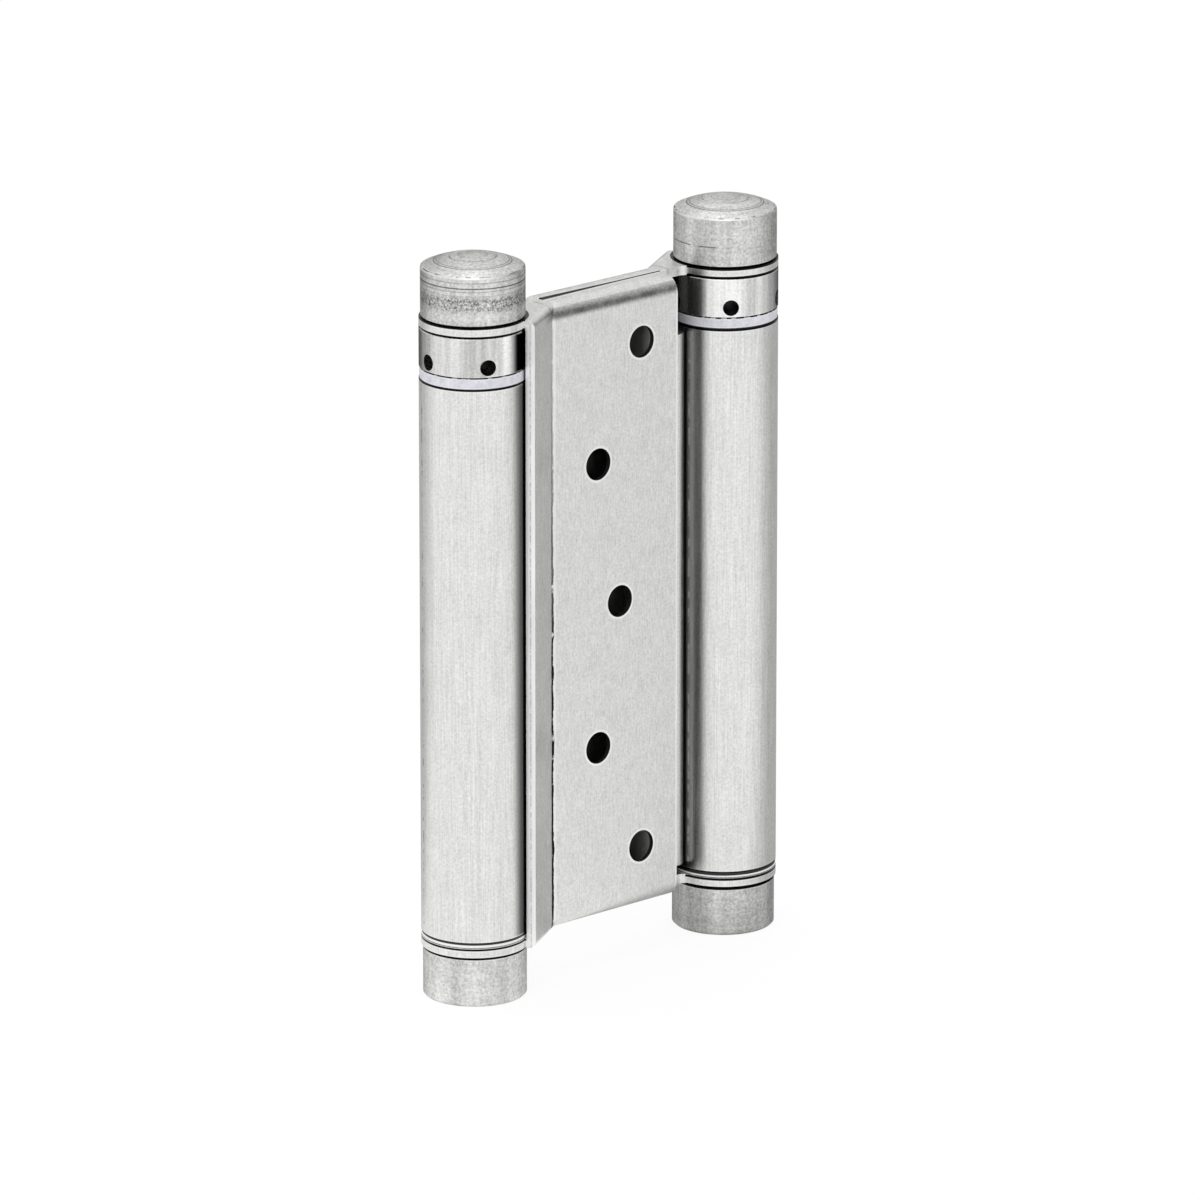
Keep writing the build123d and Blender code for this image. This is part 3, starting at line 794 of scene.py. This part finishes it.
capValues = {
    "dark": (0.24, 0.24, 0.232, 1),
    "light": (1.0, 1.0, 0.985, 1),
    "scored": (0.05, 0.05, 0.048, 1),
    "toneBase": 0.13,
    "toneWeights": (0.15, 0.15, 0.24, 0.6, 0.12),
    "flat": 260.0,
    "upright": 6500.0,
    "broad": 420.0,
    "broadUpright": 6.0,
    "grain": 2300.0,
    "roughLow": 0.4,
    "roughHigh": 0.55,
    "relief": 0.45,
    "reliefDepth": 0.00003,
    "edgeLight": 0.8,
    "edgeTint": (0.5, 0.5, 0.5, 1),
    "score": (0.1139, 0.00005, 0.00009),
    "marks": (0.1113, 0.0007, 0.0008),
    "specks": (2900.0, 0.42, 0.62),
    "turnedLines": [(0.11475, 0.5), (0.1134, 0.45), (0.1127, 0.35), (0.1119, 0.5), (0.1108, 0.4)],
    "cut": (0.1111, 0.00004, 0.00008),
    "cutTurns": (150.0, 228.0),
    "scoreShade": 0.8,
    "rimLight": (0.11548, 0.00007, 0.0001),
    "rimColour": (1, 1, 1, 1),
    "rimHighlight": 0.8,
    "rimDark": (0.11566, 0.00003, 0.00005),
    "rings": [(0.0022, 0.3), (0.00555, 0.5), (0.00595, 0.7)],
    "ringHalf": 0.00005,
    "ringEdge": 0.00012,
    "topFrom": 0.1158,
}


def capRings(tree, radius, height, values):
    # Turned rings on the domed top, each with its own weight
    top = mathOf(tree, (-1500, -900), "GREATER_THAN", height, values["topFrom"])
    total = 0.0
    for row, (centre, weight) in enumerate(values["rings"]):
        shelf = -900 - 200 * row
        ring = bandOf(tree, (-1300, shelf), radius, centre, values["ringHalf"], values["ringEdge"])
        ring = mathOf(tree, (-1200, shelf), "MULTIPLY", ring, weight)
        total = mathOf(tree, (-1100, shelf), "MAXIMUM", ring, total)
    return mathOf(tree, (-900, -900), "MULTIPLY", total, top)


def capMarks(tree, coords, turn, height, isLeft, values):
    # The left cap has scores under its rim and a speckled band, the right one a short cut
    if not isLeft:
        low, high = values["cutTurns"]
        cut = bandOf(tree, (-1300, -1600), height, *values["cut"])
        reach = bandOf(tree, (-1300, -1800), turn, (low + high) / 2, (high - low) / 2 - 6, 6.0)
        breaks = noiseOf(tree, (-1300, -2000), coords, 500.0, 2.0, 0.6)
        kept = rangeOf(tree, (-1100, -2000), breaks, 0.4, 0.5)
        cut = mathOf(tree, (-1100, -1600), "MULTIPLY", cut, reach)
        return mathOf(tree, (-900, -1600), "MULTIPLY", cut, kept)
    score = bandOf(tree, (-1300, -1600), height, *values["score"])
    marks = bandOf(tree, (-1300, -1800), height, *values["marks"])
    size, low, high = values["specks"]
    specks = noiseOf(tree, (-1300, -2000), coords, size, 2.0, 0.7)
    specks = rangeOf(tree, (-1100, -2000), specks, low, high)
    marks = mathOf(tree, (-1100, -1800), "MULTIPLY", marks, specks)
    total = mathOf(tree, (-900, -1600), "MAXIMUM", score, marks)
    for row, (level, weight) in enumerate(values["turnedLines"]):
        shelf = -2300 - 200 * row
        line = bandOf(tree, (-1300, shelf), height, level, 0.00004, 0.00009)
        line = mathOf(tree, (-1100, shelf), "MULTIPLY", line, weight)
        total = mathOf(tree, (-900, shelf), "MAXIMUM", line, total)
    return total


def capSteel(name, isLeft, values):
    material, tree, coords, shader = newMaterial(name)
    turned = useGroup(tree, (-1900, -300), turnedGroup, Vector=coords)
    rings = useGroup(tree, (-1700, 0), linesGroup, Vector=turned["Place"], Flat=values["flat"],
                     Upright=values["upright"])
    broad = useGroup(tree, (-1700, -500), linesGroup, Vector=turned["Place"], Flat=values["broad"],
                     Upright=values["broadUpright"])
    grain = useGroup(tree, (-1700, -700), speckleGroup, Vector=coords, Size=values["grain"])
    height = splitOf(tree, (-1900, -900), coords)["Z"]
    onSide = mathOf(tree, (-1700, -1300), "LESS_THAN", height, hinge["rim"] - 0.0002)
    swell = rangeOf(tree, (-1500, -500), broad["Fine"], 0.2, 0.8, -0.5, 0.5)
    swell = mathOf(tree, (-1300, -500), "MULTIPLY", swell, onSide)
    toneParts = (rings["Fine"], rings["Broad"], swell, grain["Speck"], grain["Cloud"])
    tone = sumOf(tree, (-1300, 100), values["toneBase"], *zip(toneParts, values["toneWeights"]))
    colour = mixColour(tree, (-800, 300), tone, values["dark"], values["light"])
    # painted highlight along the dome's rim
    rim = bandOf(tree, (-900, -1200), height, *values["rimLight"])
    rim = mathOf(tree, (-700, -1200), "MULTIPLY", rim, values["rimHighlight"])
    colour = mixColour(tree, (-600, 300), rim, colour, values["rimColour"])
    rimDark = bandOf(tree, (-900, -1400), height, *values["rimDark"])
    breaks = noiseOf(tree, (-1100, -1500), coords, 700.0, 2.0, 0.6)
    kept = rangeOf(tree, (-900, -1500), breaks, 0.5, 0.6)
    rimDark = mathOf(tree, (-700, -1400), "MULTIPLY", rimDark, kept)
    topRings = capRings(tree, turned["Radius"], height, values)
    scores = mathOf(tree, (-700, -900), "MAXIMUM", topRings, rimDark)
    marks = capMarks(tree, coords, turned["Turn"], height, isLeft, values)
    scores = mathOf(tree, (-600, -900), "MAXIMUM", scores, marks)
    shaded = mathOf(tree, (-500, -900), "MULTIPLY", scores, values["scoreShade"])
    colour = mixColour(tree, (-500, 300), shaded, colour, values["scored"])
    rough = rangeOf(tree, (-700, -100), rings["Broad"], 0.0, 1.0, values["roughLow"], values["roughHigh"])
    relief = mathOf(tree, (-500, -500), "SUBTRACT", rings["Fine"], scores)
    finishMetal(tree, shader, coords, colour, rough, relief, values)
    shader.inputs["Specular Tint"].default_value = values["edgeTint"]
    return material


springValues = {
    "dark": (0.2, 0.2, 0.21, 1),
    "light": (0.42, 0.42, 0.42, 1),
    "rough": 0.35,
    "relief": 0.3,
    "reliefDepth": 0.00002,
    "edgeLight": 0.0,
}


def springSteel(values):
    material, tree, coords, shader = newMaterial("springSteel")
    patch = noiseOf(tree, (-1300, 0), coords, 600.0, 4.0, 0.6)
    colour = mixColour(tree, (-700, 300), patch, values["dark"], values["light"])
    rough = rangeOf(tree, (-700, -100), patch, 0.2, 0.8, values["rough"] - 0.1, values["rough"] + 0.1)
    finishMetal(tree, shader, coords, colour, rough, patch, values)
    return material


nylonValues = {
    "dark": (0.62, 0.62, 0.68, 1),
    "light": (0.86, 0.86, 0.92, 1),
    "low": (0.98, 0.98, 0.98, 1),
    "lowBelow": 0.05,
    "edgeColour": (0.97, 0.97, 0.98, 1),
    "edgeLight": 0.9,
    "rough": 0.42,
    "relief": 0.15,
    "reliefDepth": 0.00002,
}


def nylon(values):
    # The lower bushes are whiter than the upper ones
    material, tree, coords, shader = newMaterial("nylon")
    patch = noiseOf(tree, (-1300, 0), coords, 900.0, 4.0, 0.65)
    patch = rangeOf(tree, (-1100, 0), patch, 0.3, 0.7)
    grain = noiseOf(tree, (-1300, -300), coords, 6000.0, 2.0, 0.5)
    colour = mixColour(tree, (-900, 300), patch, values["dark"], values["light"])
    height = splitOf(tree, (-1300, -600), coords)["Z"]
    low = mathOf(tree, (-1100, -600), "LESS_THAN", height, values["lowBelow"])
    colour = mixColour(tree, (-700, 300), low, colour, values["low"])
    rough = rangeOf(tree, (-700, -100), grain, 0.2, 0.8, values["rough"] - 0.08, values["rough"] + 0.12)
    finishMetal(tree, shader, coords, colour, rough, grain, values)
    feed(tree, 0.0, shader.inputs["Metallic"])
    return material


def dress(piece, material):
    piece.data.materials.clear()
    piece.data.materials.append(material)


dress(nodes["centre_body"], barrelSteel(barrelValues))
dress(nodes["front_leaf"], leafSteel("frontLeafSteel", 1.0, leafValues))
dress(nodes["rear_leaf"], leafSteel("rearLeafSteel", -1.0, leafValues))
spring = springSteel(springValues)
plastic = nylon(nylonValues)
collar = collarSteel(collarValues)
for side in ("left", "right"):
    capMaterial = capSteel(side + "CapSteel", side == "left", capValues)
    for part in ("upper_cap", "lower_cap", "spindle", "spring_plug"):
        dress(nodes[side + "_" + part], capMaterial)
    dress(nodes[side + "_tension_collar"], collar)
    dress(nodes[side + "_torsion_spring"], spring)
    for part in ("upper_bush", "lower_bush"):
        dress(nodes[side + "_" + part], plastic)
print("materials set")
